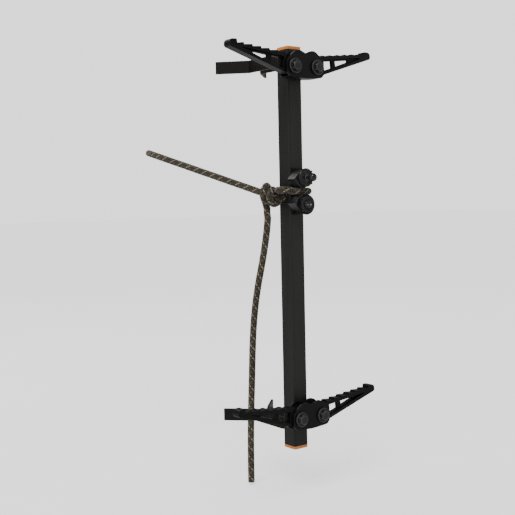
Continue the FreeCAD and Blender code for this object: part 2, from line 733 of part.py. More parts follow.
def loop_points():
    """Rope round the trunk: from the hitch's far face back through the cleat to its near face."""
    radius = size("trunk_radius") / math.cos(math.radians(LOOP_STEP / 2))
    points = [HITCH_MIDDLE + HITCH_WAY * HITCH_HALF]
    for index, height in enumerate(LOOP_HEIGHTS):
        angle = math.radians(LOOP_FROM + index * LOOP_STEP)
        points.append(Vector(-radius * math.sin(angle), size("trunk_centre") - radius * math.cos(angle), height))
    points.append(Vector(CORNER[0], ROPE_Y, CORNER[1]))
    points.append(Vector(-23.5, ROPE_Y, CORNER[1]))
    points.append(Vector(-26.0, -103.5, 75.8))
    return points


def cord_path(points, fixed=None):
    """Straight runs joined by tangent arcs; fixed gives an arc's radius at one of the points."""
    fixed = fixed or {}
    line = [Vector(*point) for point in points]
    edges = []
    at = line[0]
    radii = []
    for index in range(1, len(line) - 1):
        before = line[index] - line[index - 1]
        after = line[index + 1] - line[index]
        half_turn = before.getAngle(after) / 2
        radius = fixed.get(index, 0.45 * min(before.Length, after.Length) / math.tan(half_turn))
        run = radius * math.tan(half_turn)
        before.normalize()
        after.normalize()
        enter = line[index] - before * run
        leave = line[index] + after * run
        inward = (after - before).normalize()
        middle = line[index] + inward * (radius / math.cos(half_turn) - radius)
        edges.append(Part.LineSegment(at, enter).toShape())
        edges.append(Part.Arc(enter, middle, leave).toShape())
        at = leave
        radii.append(round(radius, 1))
    edges.append(Part.LineSegment(at, line[-1]).toShape())
    return Part.Wire(edges), radii


def cord(node, points, fixed=None):
    """Round tube along a route, its volume compared with section times length."""
    path, radii = cord_path(points, fixed)
    start = Vector(*points[0])
    way = Vector(*points[1]) - start
    radius = size("rope_size") / 2
    ring = Part.Wire(Part.makeCircle(radius, start, way))
    tube = path.makePipeShell([ring], True, False)
    ratio = tube.Volume / (math.pi * radius ** 2 * path.Length)
    print(f"{node}: length {path.Length:.0f}, radii {radii}, volume ratio {ratio:.3f}")
    if abs(ratio - 1) > 0.02:
        raise RuntimeError(node + " is not a clean tube")
    feature = doc.addObject("Part::Feature", node + "_tube")
    feature.Shape = tube
    keep(node, feature)


def rope():
    """Fixed end, hitch, loop round the trunk and free tail."""
    cord("rope_lead", LEAD)
    corner = len(LOOP_HEIGHTS) + 1
    cord("rope_loop", loop_points(), {corner: CORNER_RADIUS, corner + 1: HITCH_TURN})
    cord("rope_tail", TAIL)
    blob = doc.addObject("Part::Cylinder", "Hitch")
    blob.setExpression("Radius", f"{HITCH_RADIUS / size('rope_size'):g} * Sizes.rope_size")
    blob.Height = 2 * HITCH_HALF
    start = HITCH_MIDDLE - HITCH_WAY * HITCH_HALF
    keep("rope_hitch", blob, Placement(start, Rotation(Vector(0, 0, 1), HITCH_WAY)))


CORNER_RADIUS = 13.0
HITCH_TURN = 9.0


def rope_grommet():
    """Nylon bush that lines the hole where the rope's fixed end leaves the tube."""
    bore = size("rope_size") / 2 + 0.1
    bush = turned("Grommet", [(bore, -4.0), (GROMMET_SLEEVE, -4.0), (GROMMET_SLEEVE, 0.0), (7.0, 0.0),
                              (7.0, 0.9), (6.3, 1.6), (bore + 0.5, 1.6), (bore, 1.1)])
    keep("rope_grommet", bush, Placement(Vector(-HALF, AXIS_Y, GROMMET_HEIGHT),
                                         Rotation(Vector(0, 1, 0), -90)))


# ---------------------------------------------------------------- the whole

main_tube()
end_cap("upper", 1)
end_cap("lower", -1)
rivet_nuts()
for level in LEVELS:
    tree_bracket(level)
    strip_screws(level)
    step_spacer(level)
    step_bracket(level)
    mounting_screws(level)
    pivot_bolts(level)
    pivot_washers(level)
    pivot_nuts(level)
    for word, side in (("left", -1), ("right", 1)):
        folding_step(level, word, side)
    cam(level)
    cam_spring(level)
    cam_bolt(level)
cleat_base()
cam_discs()
knob()
rope_grommet()
rope()
doc.recompute()

for item in doc.Objects:
    if "Invalid" in item.State or "Error" in item.State:
        raise RuntimeError(f"{item.Name} ({item.Label}) failed: {item.State}")
for node, item in nodes.items():
    if item.Shape.isNull() or not item.Shape.isValid():
        raise RuntimeError(node + " has no valid shape")

os.makedirs("parts", exist_ok=True)
for node, item in nodes.items():
    item.Shape.exportStep(f"parts/{node}.step")
print(len(nodes), "nodes written")
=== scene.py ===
# %% [markdown]
# # A climbing stick, step by step
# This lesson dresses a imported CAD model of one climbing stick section. The frame holds every hard part at
# its real size. Here the parts get rounded edges, coatings and small detail, and the rope gets its braid.

# %% Load the frame
import math
import bmesh
import bpy
from mathutils import Matrix, Vector
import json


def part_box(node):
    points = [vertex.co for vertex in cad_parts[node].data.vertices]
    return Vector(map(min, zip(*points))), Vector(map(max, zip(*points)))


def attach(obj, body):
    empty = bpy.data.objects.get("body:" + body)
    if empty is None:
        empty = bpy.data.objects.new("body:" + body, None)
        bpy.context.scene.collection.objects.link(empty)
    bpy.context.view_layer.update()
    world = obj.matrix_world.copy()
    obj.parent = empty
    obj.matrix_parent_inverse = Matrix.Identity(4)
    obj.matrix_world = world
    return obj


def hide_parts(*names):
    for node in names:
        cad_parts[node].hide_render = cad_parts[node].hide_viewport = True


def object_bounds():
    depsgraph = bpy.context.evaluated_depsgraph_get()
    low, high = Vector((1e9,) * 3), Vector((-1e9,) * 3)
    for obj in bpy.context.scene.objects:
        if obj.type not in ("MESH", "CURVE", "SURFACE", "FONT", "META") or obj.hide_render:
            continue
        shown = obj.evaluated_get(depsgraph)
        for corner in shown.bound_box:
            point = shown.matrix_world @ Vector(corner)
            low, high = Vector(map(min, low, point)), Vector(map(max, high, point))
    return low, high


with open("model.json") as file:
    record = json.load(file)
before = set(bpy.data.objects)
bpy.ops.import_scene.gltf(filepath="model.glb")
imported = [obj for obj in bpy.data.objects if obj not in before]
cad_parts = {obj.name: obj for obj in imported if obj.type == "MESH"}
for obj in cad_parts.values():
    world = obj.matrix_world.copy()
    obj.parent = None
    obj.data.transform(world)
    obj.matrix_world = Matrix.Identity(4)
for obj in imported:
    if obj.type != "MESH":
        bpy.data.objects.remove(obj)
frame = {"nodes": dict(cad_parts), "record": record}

cad_low, cad_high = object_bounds()
MM = 0.001
scene = bpy.context.scene

# %% [markdown]
# ## The camera
# A camera has a place, a direction and a lens. Here it stands to the left of the stick, a little above its
# middle, and leans by about one degree. Its three axes are worked out from two angles and the lean, so each
# can be changed on its own. The lens is given for a sensor 36 mm wide.

# %% Camera
CAMERA_AZIMUTH = math.radians(-36.78)
CAMERA_ELEVATION = math.radians(3.87)
CAMERA_LEAN = math.radians(-1.24)
CAMERA_PLACE = Vector((-0.72257, -0.99537, 0.06905))
CAMERA_LENS = 63.29


def camera_axes(azimuth, elevation, lean):
    """Right, up and backward directions of a camera."""
    back = Vector((math.sin(azimuth) * math.cos(elevation), -math.cos(azimuth) * math.cos(elevation),
                   math.sin(elevation)))
    level = Vector((math.cos(azimuth), math.sin(azimuth), 0))
    rise = back.cross(level)
    right = level * math.cos(lean) + rise * math.sin(lean)
    return right, back.cross(right), back


camera_data = bpy.data.cameras.new("camera")
camera_data.sensor_width = 36
camera_data.lens = CAMERA_LENS
camera_data.clip_start = 0.01
camera = bpy.data.objects.new("camera", camera_data)
scene.collection.objects.link(camera)
turn = Matrix(camera_axes(CAMERA_AZIMUTH, CAMERA_ELEVATION, CAMERA_LEAN)).transposed()
camera.matrix_world = Matrix.Translation(CAMERA_PLACE) @ turn.to_4x4()
scene.camera = camera
print("camera at", tuple(round(v, 3) for v in CAMERA_PLACE))

# %% [markdown]
# ## The rope's route
# A rope is one smooth line of a fixed length. It leaves the tube through a grommet, runs round a trunk that
# isn't here, comes back through the cleat, wraps itself about two and a half times and hangs down. A NURBS
# spline of order three runs smoothly past its control points. The hitch winds round the standing part, so
# each of its points is given by how far it lies along, round and away from that part.

# %% Route of the rope
ROPE_SIZE = 8.0 * MM
ROPE_HEIGHT = 74.15 * MM
ROPE_FRONT = -124.5 * MM
HITCH_MIDDLE = Vector((-29.0, -91.5, 70.5)) * MM
HITCH_WAY = Vector((-0.3467, 0.880, 0.3244)).normalized()
HITCH_UP = (Vector((0, 0, 1)) - HITCH_WAY * HITCH_WAY.z).normalized()
HITCH_OUT = HITCH_UP.cross(HITCH_WAY)
LEAD = [(-12.7, -103.0, 66.0), (-20.0, -103.0, 66.1), (-26.0, -99.0, 67.8), (-33.85, -79.2, 75.0)]
LOOP_RADIUS = 88.0 * MM
LOOP_CENTRE = 75.0 * MM
LOOP_HEIGHTS = (127.0, 134.7, 128.4, 110.6, 88.5, 72.0)
LOOP_FROM = 88.6
LOOP_STEP = 37.2
CORNER = Vector((11.6 * MM, ROPE_FRONT, ROPE_HEIGHT))
HITCH = [(-14.0, -25, 11.5), (-13.0, 15, 11.0), (-13.5, 55, 10.5), (-14.0, 95, 10.5), (-13.0, 135, 9.2),
         (-11.8, 180, 8.6), (-10.2, 225, 8.4), (-8.6, 270, 8.6), (-6.6, 315, 8.8), (-4.8, 360, 9.0),
         (-3.8, 405, 8.6), (-3.4, 450, 8.6), (-2.8, 495, 8.6), (-1.8, 540, 8.8), (-0.4, 585, 9.0),
         (1.2, 630, 9.4), (3.0, 675, 10.0), (4.6, 715, 11.0), (5.6, 755, 10.4), (7.5, 800, 9.2),
         (8.0, 838, 10.0), (6.0, 862, 12.6), (1.5, 878, 15.6), (-3.2, 890, 17.8), (-5.4, 900, 21.0)]
TAIL = [(-29.8, -92.2, 42.0), (-32.4, -94.2, 33.0), (-34.0, -94.2, 22.0), (-34.6, -91.0, 6.0),
        (-36.0, -87.0, -14.0), (-38.0, -80.0, -42.0), (-38.5, -72.0, -75.0), (-37.2, -64.5, -115.0),
        (-36.6, -61.0, -155.0), (-36.4, -56.8, -205.0), (-35.6, -52.5, -260.0), (-34.4, -51.0, -305.0)]


def loop_points():
    """The rope round the trunk, on a circle, with a point near each end of its two straight runs."""
    radius = LOOP_RADIUS / math.cos(math.radians(LOOP_STEP / 2))
    ring = []
    for index, height in enumerate(LOOP_HEIGHTS):
        angle = math.radians(LOOP_FROM + index * LOOP_STEP)
        ring.append(Vector((-radius * math.sin(angle), LOOP_CENTRE - radius * math.cos(angle),
                            height * MM)))
    start = Vector(LEAD[-1]) * MM
    ahead = (ring[0] - start).normalized()
    back = (ring[-1] - CORNER).normalized()
    step = (ring[1] - ring[0]).length
    return [start + ahead * 6 * ROPE_SIZE, ring[0] - ahead * step] + ring + [
        ring[-1] - back * step, CORNER + back * 6 * ROPE_SIZE, CORNER + back * 12 * MM]


def hitch_points():
    """The turns round the standing part, each point given along it, round it and away from it."""
    points = []
    for along, angle, away in HITCH:
        turn = math.radians(angle)
        side = HITCH_UP * math.cos(turn) - HITCH_OUT * math.sin(turn)
        points.append(HITCH_MIDDLE + (HITCH_WAY * along + side * away) * MM)
    return points


route = [Vector(point) * MM for point in LEAD] + loop_points()
route += [CORNER, Vector((0, ROPE_FRONT, ROPE_HEIGHT)), Vector((-14 * MM, ROPE_FRONT, ROPE_HEIGHT)),
          Vector((-24.5, -122.5, 76.5)) * MM]
route += hitch_points()
route += [Vector(point) * MM for point in TAIL]

rope_line = bpy.data.curves.new("rope_line", "CURVE")
rope_line.dimensions = "3D"
rope_line.resolution_u = 16
spline = rope_line.splines.new("NURBS")
spline.points.add(len(route) - 1)
for point, place in zip(spline.points, route):
    point.co = (*place, 1)
spline.order_u = 3
spline.use_endpoint_u = True
rope_guide = bpy.data.objects.new("rope_guide", rope_line)
scene.collection.objects.link(rope_guide)
line_mesh = bpy.data.meshes.new_from_object(rope_guide.evaluated_get(bpy.context.evaluated_depsgraph_get()))

# %% [markdown]
# ## Helpers for node trees
# Both shaders and Geometry Nodes are trees of nodes. Two small helpers keep each tree readable: one adds a
# node with its settings, and one makes a new tree with named sockets.

# %% Node helpers


def add_node(tree, kind, inputs=None, **settings):
    """A node with its settings and its inputs, each a value or another node's output."""
    node = tree.nodes.new(kind)
    for name, value in settings.items():
        setattr(node, name, value)
    for key, value in (inputs or {}).items():
        socket = node.inputs[key]
        if isinstance(value, bpy.types.NodeSocket):
            tree.links.new(value, socket)
        else:
            socket.default_value = value
    return node


def new_tree(name, kind, sockets):
    """A node group with named inputs and outputs: (name, direction, socket type, default)."""
    tree = bpy.data.node_groups.new(name, kind)
    for label, direction, socket_type, default in sockets:
        socket = tree.interface.new_socket(name=label, in_out=direction, socket_type=socket_type)
        if default is not None:
            socket.default_value = default
    return tree


def math_node(tree, operation, first, second=None, third=None):
    inputs = {0: first}
    if second is not None:
        inputs[1] = second
    if third is not None:
        inputs[2] = third
    return add_node(tree, "ShaderNodeMath", inputs, operation=operation).outputs[0]


def vector_node(tree, operation, first, second=None, scale=None):
    inputs = {0: first}
    if second is not None:
        inputs[1] = second
    if scale is not None:
        inputs["Scale"] = scale
    return add_node(tree, "ShaderNodeVectorMath", inputs, operation=operation).outputs["Vector"]


def solidified(name, holder, body):
    """The evaluated mesh of an object as a plain piece that rides on a body; the holder goes."""
    graph = bpy.context.evaluated_depsgraph_get()
    mesh = bpy.data.meshes.new_from_object(holder.evaluated_get(graph))
    piece = bpy.data.objects.new(name, mesh)
    scene.collection.objects.link(piece)
    bpy.data.objects.remove(holder)
    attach(piece, body)
    print(name, len(mesh.polygons), "faces")
    return piece


print("helpers ready")

# %% [markdown]
# ## Shader groups for wear and grain
# Most parts of the stick are coated metal, and coated metal here has two features: fine grain in the
# coating, and bare or lighter edges where it rubs. Each feature is one shader group, built once and placed
# in every material with its own values.

# %% Shader groups
BREAK_UP_SCALE = 420.0
WEAR_GAIN = 14.0


def group_ends(tree):
    return tree.nodes.new("NodeGroupInput"), tree.nodes.new("NodeGroupOutput")


def make_grain_group():
    """Orange-peel height and a patchy tone, from two noises on the object's own coordinates."""
    tree = new_tree("coating_grain", "ShaderNodeTree", [
        ("Scale", "INPUT", "NodeSocketFloat", 900.0), ("Patches", "INPUT", "NodeSocketFloat", 30.0),
        ("Stretch", "INPUT", "NodeSocketVector", (1, 1, 1)),
        ("Height", "OUTPUT", "NodeSocketFloat", None), ("Tone", "OUTPUT", "NodeSocketFloat", None)])
    inside, outside = group_ends(tree)
    place = add_node(tree, "ShaderNodeTexCoord").outputs["Object"]
    fine = add_node(tree, "ShaderNodeTexNoise", {"Vector": place, "Scale": inside.outputs["Scale"],
                                                 "Detail": 3.0, "Roughness": 0.6})
    stretched = vector_node(tree, "MULTIPLY", place, inside.outputs["Stretch"])
    broad = add_node(tree, "ShaderNodeTexNoise", {"Vector": stretched, "Scale": inside.outputs["Patches"],
                                                  "Detail": 5.0, "Roughness": 0.65})
    tree.links.new(fine.outputs[0], outside.inputs["Height"])
    tree.links.new(broad.outputs[0], outside.inputs["Tone"])
    return tree


def make_wear_group():
    """Mask of rubbed edges: where the bevelled normal leaves the flat one, broken up by noise."""
    tree = new_tree("edge_wear", "ShaderNodeTree", [
        ("Radius", "INPUT", "NodeSocketFloat", 0.0012), ("Amount", "INPUT", "NodeSocketFloat", 0.5),
        ("Mask", "OUTPUT", "NodeSocketFloat", None)])
    inside, outside = group_ends(tree)
    bevel = add_node(tree, "ShaderNodeBevel", {"Radius": inside.outputs["Radius"]}, samples=4)
    flat = add_node(tree, "ShaderNodeNewGeometry").outputs["Normal"]
    turn = add_node(tree, "ShaderNodeVectorMath", {0: bevel.outputs[0], 1: flat}, operation="DOT_PRODUCT")
    edge = math_node(tree, "SUBTRACT", 1.0, turn.outputs["Value"])
    place = add_node(tree, "ShaderNodeTexCoord").outputs["Object"]
    broken = add_node(tree, "ShaderNodeTexNoise", {"Vector": place, "Scale": BREAK_UP_SCALE, "Detail": 4.0,
                                                   "Roughness": 0.7}).outputs[0]
    strength = math_node(tree, "MULTIPLY", edge, inside.outputs["Amount"])
    mask = math_node(tree, "MULTIPLY", strength, math_node(tree, "MULTIPLY", broken, broken))
    tree.links.new(math_node(tree, "MINIMUM", math_node(tree, "MULTIPLY", mask, WEAR_GAIN), 1.0),
                   outside.inputs["Mask"])
    return tree


GRAIN = make_grain_group()
WEAR = make_wear_group()
print("groups:", GRAIN.name, WEAR.name)

# %% [markdown]
# ## Coated metal and moulded plastic
# One function makes every hard material. It takes the coat's colour, its gloss, the size of its grain, and
# how light its rubbed edges are. The values then tell the parts apart: a satin tube, near-black castings,
# dull flat bars and glossier bolts.

# %% Hard materials


def principled(name):
    material = bpy.data.materials.new(name)
    material.use_nodes = True
    tree = material.node_tree
    shader = tree.nodes["Principled BSDF"]
    return material, tree, shader


def ramp(tree, value, low, high, from_min=0.3, from_max=0.7):
    """A number or a colour that runs between two values as the input does."""
    if isinstance(low, tuple):
        factor = add_node(tree, "ShaderNodeMapRange", {"Value": value, "From Min": from_min,
                                                       "From Max": from_max})
        mix = add_node(tree, "ShaderNodeMix", data_type="RGBA")
        tree.links.new(factor.outputs[0], mix.inputs["Factor"])
        mix.inputs[6].default_value = (*low, 1)
        mix.inputs[7].default_value = (*high, 1)
        return mix.outputs[2]
    return add_node(tree, "ShaderNodeMapRange", {"Value": value, "From Min": from_min, "From Max": from_max,
                                                 "To Min": low, "To Max": high}).outputs[0]


def coated(name, dark, light, rubbed, gloss=(0.38, 0.5), grain=900.0, patches=40.0, stretch=(1, 1, 1),
           bump=0.08, wear=0.5, metallic=0.0, specular=0.5):
    """Coating with grain, patchy tone and rubbed edges."""
    material, tree, shader = principled(name)
    texture = add_node(tree, "ShaderNodeGroup", node_tree=GRAIN)
    texture.inputs["Scale"].default_value = grain
    texture.inputs["Patches"].default_value = patches
    texture.inputs["Stretch"].default_value = stretch
    edges = add_node(tree, "ShaderNodeGroup", node_tree=WEAR)
    edges.inputs["Amount"].default_value = wear
    base = ramp(tree, texture.outputs["Tone"], dark, light)
    mix = add_node(tree, "ShaderNodeMix", data_type="RGBA")
    tree.links.new(edges.outputs["Mask"], mix.inputs["Factor"])
    tree.links.new(base, mix.inputs[6])
    mix.inputs[7].default_value = (*rubbed, 1)
    tree.links.new(mix.outputs[2], shader.inputs["Base Color"])
    rough = ramp(tree, texture.outputs["Tone"], gloss[0], gloss[1])
    tree.links.new(rough, shader.inputs["Roughness"])
    shader.inputs["Metallic"].default_value = metallic
    shader.inputs["Specular IOR Level"].default_value = specular
    relief = add_node(tree, "ShaderNodeBump", {"Strength": bump, "Distance": 0.0004,
                                               "Height": texture.outputs["Height"]})
    tree.links.new(relief.outputs[0], shader.inputs["Normal"])
    return material


MATERIALS = {
    "tube_coating": coated("tube_coating", (0.0125, 0.0125, 0.0118), (0.0195, 0.0195, 0.0185), (0.09, 0.09,
                                                                                                0.085),
                           gloss=(0.36, 0.46), grain=1400.0, patches=60.0, stretch=(1, 1, 0.05), wear=0.35,
                           specular=0.22),
    "cap_plastic": coated("cap_plastic", (0.72, 0.23, 0.030), (0.86, 0.30, 0.050), (0.92, 0.42, 0.12),
                          gloss=(0.42, 0.55), grain=1100.0, patches=160.0, bump=0.12, wear=0.25),
    "black_plate": coated("black_plate", (0.0035, 0.0035, 0.0037), (0.0065, 0.0065, 0.0068), (0.06, 0.06,
                                                                                              0.062),
                          gloss=(0.28, 0.40), grain=1300.0, wear=0.35, specular=0.14),
    "step_casting": coated("step_casting", (0.0028, 0.0028, 0.003), (0.006, 0.006, 0.0062), (0.05, 0.05,
                                                                                             0.052),
                           gloss=(0.30, 0.44), grain=750.0, bump=0.16, wear=0.35, specular=0.12),
    "bracket_bar": coated("bracket_bar", (0.006, 0.0052, 0.0045), (0.011, 0.0097, 0.0085), (0.10, 0.092,
                                                                                            0.082),
                          gloss=(0.42, 0.58), grain=1000.0, patches=110.0, bump=0.12, wear=0.4,
                          specular=0.15),
    "cam_casting": coated("cam_casting", (0.008, 0.008, 0.0082), (0.015, 0.015, 0.0155), (0.16, 0.16, 0.16),
                          gloss=(0.28, 0.38), grain=900.0, wear=0.5, specular=0.34),
    "black_steel": coated("black_steel", (0.008, 0.008, 0.0082), (0.015, 0.015, 0.0152), (0.2, 0.2, 0.2),
                          gloss=(0.26, 0.38), grain=1500.0, bump=0.05, wear=0.6, specular=0.3),
    "knurled_steel": coated("knurled_steel", (0.003, 0.003, 0.0031), (0.006, 0.006, 0.0061), (0.08, 0.08,
                                                                                              0.08),
                            gloss=(0.26, 0.38), grain=1500.0, bump=0.05, wear=0.04, specular=0.13),
    "bolt_steel": coated("bolt_steel", (0.011, 0.011, 0.0115), (0.024, 0.024, 0.025), (0.26, 0.26, 0.265),
                         gloss=(0.26, 0.40), grain=1500.0, bump=0.05, wear=0.9, metallic=0.15,
                         specular=0.3),
    "zinc_steel": coated("zinc_steel", (0.38, 0.38, 0.37), (0.52, 0.52, 0.52), (0.62, 0.62, 0.62),
                         gloss=(0.28, 0.42), grain=1200.0, bump=0.06, metallic=0.9),
    "knob_plastic": coated("knob_plastic", (0.006, 0.006, 0.0065), (0.011, 0.011, 0.0115), (0.05, 0.05,
                                                                                            0.05),
                           gloss=(0.10, 0.18), grain=700.0, bump=0.03, wear=0.2, specular=0.5),
    "black_nylon": coated("black_nylon", (0.007, 0.007, 0.0072), (0.012, 0.012, 0.0122), (0.04, 0.04, 0.04),
                          gloss=(0.45, 0.6), grain=800.0, bump=0.14, wear=0.3, specular=0.2),
}


def paint_point_highlights(material, colour):
    """The tops of a knurl's points are painted lighter, a painted highlight; the attribute runs from 0 at the foot
    to 1 at the top.
    """
    tree = material.node_tree
    base = tree.nodes["Principled BSDF"].inputs["Base Color"]
    height = add_node(tree, "ShaderNodeAttribute", attribute_name="point_height").outputs["Fac"]
    mix = add_node(tree, "ShaderNodeMix", {"Factor": math_node(tree, "POWER", height, 3.0)},
                   data_type="RGBA")
    tree.links.new(base.links[0].from_socket, mix.inputs[6])
    mix.inputs[7].default_value = (*colour, 1)
    tree.links.new(mix.outputs[2], base)


# Painted highlight: the knurl points' tops are given a lighter colour.
paint_point_highlights(MATERIALS["knurled_steel"], (0.11, 0.11, 0.105))
print("hard materials:", ", ".join(MATERIALS))

# %% [markdown]
# ## The rope's material
# The braid's strands are round bundles of fine yarn. The strands carry three attributes from Geometry
# Nodes: how far along the rope a point is, where it is round its strand, and whether the strand is a tan
# tracer. Yarn lines follow the strand because the pattern is drawn from those attributes. Their colour is
# painted lighter on each yarn's crest and darker in the grooves between yarns: painted light and shade.

# %% Rope material
YARN_RATE = 2600.0
YARNS_IN_STRAND = 5
FULL_TURN = 6.283


def attribute(tree, name):
    return add_node(tree, "ShaderNodeAttribute", attribute_name=name).outputs["Fac"]


def rope_material():
    material, tree, shader = principled("rope")
    along = attribute(tree, "along")
    around = attribute(tree, "around")
    tracer = attribute(tree, "tracer")
    yarn_turn = math_node(tree, "MULTIPLY_ADD", along, YARN_RATE,
                          math_node(tree, "MULTIPLY", around, FULL_TURN * YARNS_IN_STRAND))
    yarns = math_node(tree, "SINE", yarn_turn)
    place = add_node(tree, "ShaderNodeTexCoord").outputs["Object"]
    fuzz = add_node(tree, "ShaderNodeTexNoise", {"Vector": place, "Scale": 1800.0,
                                                 "Detail": 3.0}).outputs[0]
    soil = add_node(tree, "ShaderNodeTexNoise", {"Vector": place, "Scale": 34.0, "Detail": 4.0}).outputs[0]
    brown = ramp(tree, soil, (0.0125, 0.0100, 0.0050), (0.028, 0.0225, 0.0115))
    tan = ramp(tree, soil, (0.27, 0.215, 0.125), (0.42, 0.35, 0.225))
    strand = add_node(tree, "ShaderNodeMix", data_type="RGBA")
    tree.links.new(tracer, strand.inputs["Factor"])
    tree.links.new(brown, strand.inputs[6])
    tree.links.new(tan, strand.inputs[7])
    # Painted light and shade: the colour is lighter on each yarn's crest and darker in the grooves between yarns;
    # fuzz adds random tone.
    shade = ramp(tree, math_node(tree, "MULTIPLY_ADD", yarns, 0.2, fuzz), (0.62, 0.62, 0.62), (1.3, 1.3,
                                                                                               1.3))
    lit = add_node(tree, "ShaderNodeMix", data_type="RGBA", blend_type="MULTIPLY")
    lit.inputs["Factor"].default_value = 1.0
    tree.links.new(strand.outputs[2], lit.inputs[6])
    tree.links.new(shade, lit.inputs[7])
    tree.links.new(lit.outputs[2], shader.inputs["Base Color"])
    tree.links.new(ramp(tree, fuzz, 0.68, 0.9), shader.inputs["Roughness"])
    shader.inputs["Sheen Weight"].default_value = 0.25
    shader.inputs["Sheen Roughness"].default_value = 0.5
    shader.inputs["Specular IOR Level"].default_value = 0.3
    relief = add_node(tree, "ShaderNodeBump", {"Strength": 0.35, "Distance": 0.0003})
    tree.links.new(math_node(tree, "MULTIPLY_ADD", yarns, 0.3, fuzz), relief.inputs["Height"])
    tree.links.new(relief.outputs[0], shader.inputs["Normal"])
    return material


MATERIALS["rope"] = rope_material()
print("rope material ready")

# %% [markdown]
# ## The braid
# A diamond braid has two families of strands that wind opposite ways and pass over and under each other in
# turn. Geometry Nodes copies the rope's line once for each strand, moves every copy out to its place on the
# braid, and sweeps a flat oval along it. A dark core fills the inside.

# %% Braid tree
TRACER_EVERY = 4
TRACER_CALM = -0.5
TRACER_THINNER = -0.42
SECOND_HAND_SHADE = 0.09
CROSSING_SHADE = 0.26


